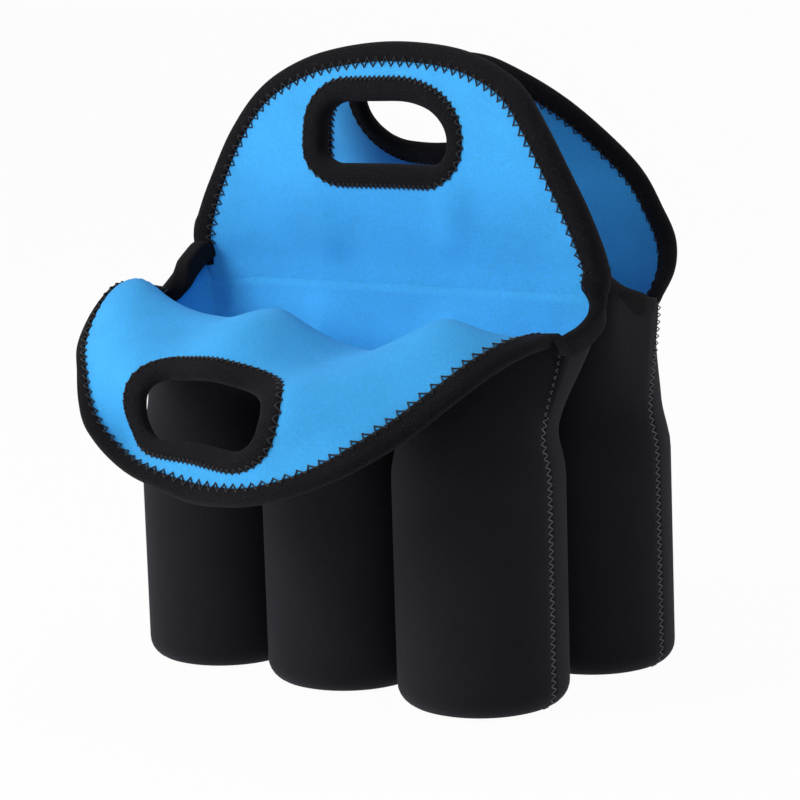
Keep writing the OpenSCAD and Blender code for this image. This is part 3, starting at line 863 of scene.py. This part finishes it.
def mouth_tape_grid(row, hand):
    """The tape over the side panel's upper edge, as path by section, with the lengths along its
    path. From 163 to 177 mm up, where it meets the middle flap, the section turns a quarter, from
    out = x to out = -y, and it gets thicker. In front it also tilts up away from the middle. Its
    inset runs along path x out, and both ends are narrower and thinner than its middle."""
    s = sizes()
    sheet = s["sheet"]
    path = mouth_tape_path(row, hand)
    k = np.linspace(0, 1, len(path))[:, None]
    turned = ease((path[:, 2:] - 163) / 14)
    turn = turned * pi / 2
    tilt = 0.45 * ease((path[:, 1:2] - 27) / 14) * (row == "front")
    along = unit(np.gradient(path, axis=0))
    out = np.concatenate([np.cos(turn), -np.sin(turn), tilt], 1)
    out = unit(out - along * (out * along).sum(1, keepdims=True))
    inset = np.cross(along, out)
    inset *= np.where((inset * [-1, 0, -1]).sum(1, keepdims=True) < 0, -1, 1)
    half = sheet / 2 + TAPE_RISE + (sheet / 2 + 0.1) * turned
    end = np.sqrt(np.clip((1 - k) / 0.05, 0.04, 1)) * (0.45 + 0.55 * ease(k / 0.28))
    centre = 3.4
    depth, height = tape_profile(s["tape_width"] + 0.2, 1.0)
    depth = centre + (depth - centre) * (0.3 + 0.7 * end)
    grid = (path[:, None] + inset[:, None] * depth[..., None]
            + out[:, None] * (height * half * end)[..., None])
    back, reach = ROWS[row]["out"], abs(ROWS[row][hand][0])
    forward = drawn_forward(MIDDLE_HALF * HANDS[hand]) * (1 - np.clip(path[:, 1] / reach, 0, 1))
    grid[..., 1] = MIDDLE_Y + back * (grid[..., 1] - back * forward[:, None])
    grid[..., 0] *= HANDS[hand]
    return grid, run_along(path)


class CARRIER_OT_rows(bpy.types.Operator):
    """Make the pocket walls, their side seams, partition stitching and mouth tapes"""

    bl_idname = "carrier.rows"
    bl_label = "Pocket rows"

    def execute(self, context):
        for row in ROWS:
            for side in ("outer", "inner"):
                self.wall(row, side)
            for hand in HANDS:
                self.side_seam(row, hand)
                self.mouth_tape(row, hand)
            self.partitions(row)
        return {"FINISHED"}

    def wall(self, row, side):
        """A wall's foam with its knit face, and its lining."""
        s = sizes()
        name = f"{row}_{side}_wall"
        inner, face, outer = (wall_grid(row, side, n) for n in (0.0, s["lining"], s["sheet"]))
        uv = wall_uv(outer)
        foam = shell(name + "_cloth", outer, face, uv, "foam", [name + "_foam"])
        lining = shell(name + "_inside", face, inner, uv, "lining", [name + "_lining"])
        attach(foam, row + "_row")
        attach(lining, row + "_row")

    def side_seam(self, row, hand):
        """Zigzag thread up the side: it swings 1.6 mm each way in teeth of 3.1 mm, and sinks by
        0.018 times the square of its swing, as the pocket's side is round."""
        half_tooth, swing_most = 1.55, 1.6
        line = seam_path(row, hand)
        run = run_along(line)
        count = int(run[-1] / half_tooth)
        at = np.linspace(0, run[-1], count * 4 + 1)
        swing = swing_most * (2 / pi) * np.arcsin(np.sin((at / run[-1] * count + 0.5) * pi))
        point = picked(line, run, at)
        out = np.tile([float(HANDS[hand]), 0.0, 0.0], (len(at), 1))
        across = np.cross(out, unit(np.gradient(point, axis=0)))
        zig = point + across * swing[:, None] + out * (0.25 - 0.018 * swing[:, None] ** 2)
        seam = tubes(f"{row}_{hand}_seam_zigzag", [(zig, out)], 0.28, "seam",
                     [f"{row}_{hand}_side_seam"])
        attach(seam, row + "_row")

    def mouth_tape(self, row, hand):
        """The tape from the side seam's top to the middle flap."""
        tape = swept(f"{row}_{hand}_mouth_tape", *mouth_tape_grid(row, hand), "tape",
                     [f"{row}_{hand}_mouth_binding"])
        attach(tape, row + "_row")

    def partitions(self, row):
        """Stitch lines that part the pockets: a stitch of 2.6 mm every 3.4 mm, on both faces."""
        t = np.linspace(0, 1, 5)
        bow = 0.2 + 0.5 * np.sin(pi * t)
        half_pitch = sizes()["pocket_pitch"] / 2
        paths = []
        for x in (-half_pitch, half_pitch):
            for face in (-1, 1):
                out = np.tile([0.0, face, 0.0], (len(t), 1))
                for low in np.arange(10.0, 111.0, 3.4):
                    z = low + 2.6 * t
                    y = ROWS[row]["y"] + face * bow + set_back(row, z)
                    paths.append((np.stack([x + 0 * t, y, z], 1), out))
        thread = tubes(f"{row}_partition_thread", paths, 0.3, "thread",
                       [f"{row}_partition_stitching"])
        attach(thread, row + "_row")


# Flaps
# Each fold: the row that the flap hangs on, its hinge line's y and z, the cloth's way up over it in
# y and z, and how far along that way the bend starts and ends
FOLDS = {
    "front": ("front_row", (-38.41, 166.5), (-0.95, 0.31), -18, 14),
    "back": ("back_row", (110.99, 170.0), (-0.3, 0.95), -6, 8),
    "middle": ("front_row", (MIDDLE_Y, MIDDLE_Z), (0.0, 1.0), -7, 7),
}


def joined_to(which, obj):
    """Bakes a flap piece's transform into its mesh. The fold's start and end points are worked out but
    not used, so the piece is not bent at the fold.
    """
    row, (y, z), (way_y, way_z), before, after = FOLDS[which]
    start, end = ((0, (y + far * way_y) * MM, (z + far * way_z) * MM) for far in (before, after))
    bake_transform(obj)
    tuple(start)
    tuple(end)


def edge_path(which):
    """The cut edge that the tape follows. The middle flap's ends above its lower corners, because
    the mouth tapes cover these."""
    cut = FLAPS[which]["cut"]
    if which != "middle":
        return through(mirrored_cut(cut), 260)
    arch = through(mirrored_cut([(113.6, -6)] + cut[1:]), 260)
    return respace(arch[:-11], 255)


def build_flap(which, layers):
    """Sheets, tapes and stitches of one flap; layers are (name, low, high, kind, node)."""
    s = sizes()
    flap, hole = which + "_flap", which + "_hand_hole"
    for name, low, high, kind, node in layers:
        joined_to(which, flap_sheet(name, which, low, high, kind, [node]))
    faces = (min(layer[1] for layer in layers), max(layer[2] for layer in layers))
    edge, pitch, width = edge_path(which), s["stitch_pitch"], s["tape_width"]
    joined_to(which, edge_tape(flap + "_edge_tape", which, edge, width, faces, [flap + "_binding"]))
    joined_to(which, edge_stitches(flap + "_edge_zigzag", which, edge, pitch,
                                   (width - 2.2, width + 2.1), faces, [flap + "_edge_stitching"]))
    rim, width = hole_outline(which, 180), s["rim_width"]
    tape = edge_tape(hole + "_tape", which, rim, width, faces, [hole + "_binding"], hole=True)
    teeth = edge_stitches(hole + "_zigzag", which, rim, pitch / 2, (width - 1.6, width + 0.6),
                          faces, [hole + "_stitching"], hole=True)
    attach(tape, flap)
    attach(teeth, flap)


def build_wall_flap(which):
    """A flap that is one cloth with its row's outer wall: foam outside, lining inside."""
    s = sizes()
    flap = which + "_flap"
    build_flap(which, [
        (flap + "_cloth", s["lining"], s["sheet"], "foam", flap + "_foam"),
        (flap + "_inside", 0.0, s["lining"], "lining", flap + "_lining"),
    ])


class CARRIER_OT_front_flap(bpy.types.Operator):
    """Make the front flap, folded forward over the row"""

    bl_idname = "carrier.front_flap"
    bl_label = "Front flap"

    def execute(self, context):
        build_wall_flap("front")
        return {"FINISHED"}


class CARRIER_OT_middle_flap(bpy.types.Operator):
    """Make the middle flap's two sheets, back to back"""

    bl_idname = "carrier.middle_flap"
    bl_label = "Middle flap"

    def execute(self, context):
        foam, sheet, gap = sizes()["foam"], sizes()["sheet"], 0.05
        front, rear = "middle_flap_front", "middle_flap_rear"
        build_flap("middle", [
            (front + "_core", gap, foam, "foam", front + "_foam"),
            (front + "_face", foam, sheet, "lining", front + "_lining"),
            (rear + "_core", -foam, -gap, "foam", rear + "_foam"),
            (rear + "_face", -sheet, -foam, "lining", rear + "_lining"),
        ])
        return {"FINISHED"}


class CARRIER_OT_back_flap(bpy.types.Operator):
    """Make the back flap, leaning on the middle flap"""

    bl_idname = "carrier.back_flap"
    bl_label = "Back flap"

    def execute(self, context):
        build_wall_flap("back")
        return {"FINISHED"}


# Stage
def set_facing(obj, right, up, back, place):
    """Places a camera or lamp by its right, up and back directions, in metres."""
    matrix = np.eye(4)
    matrix[:3] = np.stack([right, up, back, place], 1)
    obj.matrix_world = Matrix(matrix.tolist())
    bpy.context.scene.collection.objects.link(obj)


class CARRIER_OT_stage(bpy.types.Operator):
    """Make the floor, the lights and the camera"""

    bl_idname = "carrier.stage"
    bl_label = "Stage"

    def execute(self, context):
        scene = context.scene
        scene.view_settings.view_transform = "Standard"
        self.camera(scene)
        self.floor(scene)
        self.world(scene)
        self.lamp("Key lamp", (-1.05, -1.5, 1.0), 1.1, 30.0)
        self.lamp("Fill lamp", (1.4, -1.5, 0.9), 1.2, 4.0)
        self.lamp("Top lamp", (-0.2, 0.3, 2.0), 1.2, 5.0)
        return {"FINISHED"}

    def camera(self, scene):
        """Azimuth 40, elevation 8.74, roll -1.71 degrees, 1.07 m from the carrier's middle."""
        azimuth, elevation, roll = radians(40.0), radians(8.74), radians(-1.71)
        aim = np.array([0.0, MIDDLE_Y, 118.77]) * MM
        distance = 1.06987
        back = np.array([sin(azimuth) * cos(elevation), -cos(azimuth) * cos(elevation),
                         sin(elevation)])
        level = np.array([cos(azimuth), sin(azimuth), 0.0])
        above = np.cross(back, level)
        data = bpy.data.cameras.new("Camera")
        data.sensor_width = 36
        data.lens = 105.97
        data.clip_start = 0.01
        camera = bpy.data.objects.new("Camera", data)
        set_facing(camera, cos(roll) * level + sin(roll) * above,
                   cos(roll) * above - sin(roll) * level, back, aim + back * distance)
        scene.camera = camera

    def floor(self, scene):
        """A white sheet that curves up behind, like a studio roll: flat, then a quarter round of
        0.9 m, then straight up."""
        radius, bend_y, across = 0.9, 2.2, 9
        bend = np.linspace(0.1, pi / 2, 12)
        y = np.concatenate([np.linspace(-3, bend_y, 14), bend_y + radius * np.sin(bend),
                            np.full(4, bend_y + radius)])
        z = np.concatenate([np.zeros(14), radius - radius * np.cos(bend), np.linspace(1.2, 3.4, 4)])
        x = np.linspace(-4, 4, across)[:, None]
        grid = np.stack(np.broadcast_arrays(x, y, z), -1)
        mesh = bpy.data.meshes.new("Floor")
        mesh.from_pydata(grid.reshape(-1, 3).tolist(), [], quads(across, len(y)).tolist())
        for face in mesh.polygons:
            face.use_smooth = True
        mesh.materials.append(self.white_floor())
        floor = bpy.data.objects.new("Floor", mesh)
        scene.collection.objects.link(floor)

    def white_floor(self):
        """White paper that shows nearly pure white to the camera and in reflections."""
        material, tree, paper = new_material("White floor")
        put(paper, {"Base Color": (0.9, 0.9, 0.9, 1), "Roughness": 0.9})
        glow = add(tree, "ShaderNodeEmission", {"Color": (1, 1, 1, 1)})
        path = add(tree, "ShaderNodeLightPath")
        seen = add(tree, "ShaderNodeMath", operation="MAXIMUM")
        share = add(tree, "ShaderNodeMath", {1: 0.96}, operation="MULTIPLY")
        mix = add(tree, "ShaderNodeMixShader")
        join(tree, [
            (path, "Is Camera Ray", seen, 0), (path, "Is Glossy Ray", seen, 1),
            (seen, "Value", share, 0), (share, "Value", mix, 0),
            (paper, "BSDF", mix, 1), (glow, "Emission", mix, 2),
            (mix, "Shader", tree.nodes["Material Output"], "Surface"),
        ])
        return material

    def world(self, scene):
        """White to the camera, soft to everything else."""
        world = bpy.data.worlds.new("Soft room")
        world.use_nodes = True
        tree = world.node_tree
        soft = tree.nodes["Background"]
        put(soft, {"Color": (0.93, 0.95, 1.0, 1), "Strength": 0.34})
        white = add(tree, "ShaderNodeBackground", {"Color": (1, 1, 1, 1), "Strength": 1.0})
        path = add(tree, "ShaderNodeLightPath")
        seen = add(tree, "ShaderNodeMath", operation="MAXIMUM")
        mix = add(tree, "ShaderNodeMixShader")
        join(tree, [
            (path, "Is Camera Ray", seen, 0), (path, "Is Transmission Ray", seen, 1),
            (seen, "Value", mix, 0), (soft, "Background", mix, 1), (white, "Background", mix, 2),
            (mix, "Shader", tree.nodes["World Output"], "Surface"),
        ])
        scene.world = world

    def lamp(self, name, place, size, power):
        """A square area lamp that faces the carrier's middle."""
        data = bpy.data.lights.new(name, "AREA")
        data.size = size
        data.energy = power
        place = np.array(place)
        back = unit(place - [0, 0, 0.13])
        right = unit(np.cross([0, 0, 1.0], back))
        set_facing(bpy.data.objects.new(name, data), right, np.cross(back, right), back, place)


STEPS = ("rows", "front_flap", "middle_flap", "back_flap", "stage")


class CARRIER_PT_sidebar(bpy.types.Panel):
    """Lists the carrier's steps and sizes"""

    bl_idname = "CARRIER_PT_sidebar"
    bl_label = "Six Pack Carrier"
    bl_space_type = "VIEW_3D"
    bl_region_type = "UI"
    bl_category = "Carrier"

    def draw(self, context):
        layout = self.layout
        for step in STEPS:
            layout.operator("carrier." + step)
        for group in (context.scene.carrier_sizes, context.scene.carrier_colours):
            box = layout.box()
            for name in group.__annotations__:
                box.prop(group, name)


CLASSES = (CarrierSizes, CarrierColours, CARRIER_OT_rows, CARRIER_OT_front_flap,
           CARRIER_OT_middle_flap, CARRIER_OT_back_flap, CARRIER_OT_stage, CARRIER_PT_sidebar)


def register():
    """Registers the classes and hangs the sizes and colours on the scene."""
    for cls in CLASSES:
        bpy.utils.register_class(cls)
    bpy.types.Scene.carrier_sizes = bpy.props.PointerProperty(type=CarrierSizes)
    bpy.types.Scene.carrier_colours = bpy.props.PointerProperty(type=CarrierColours)


def unregister():
    """Takes back all that register did."""
    del bpy.types.Scene.carrier_colours
    del bpy.types.Scene.carrier_sizes
    for cls in reversed(CLASSES):
        bpy.utils.unregister_class(cls)


def main():
    """Makes every piece and the stage."""
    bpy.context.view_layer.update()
    register()
    for step in STEPS:
        getattr(bpy.ops.carrier, step)()


if __name__ == "__main__":
    main()
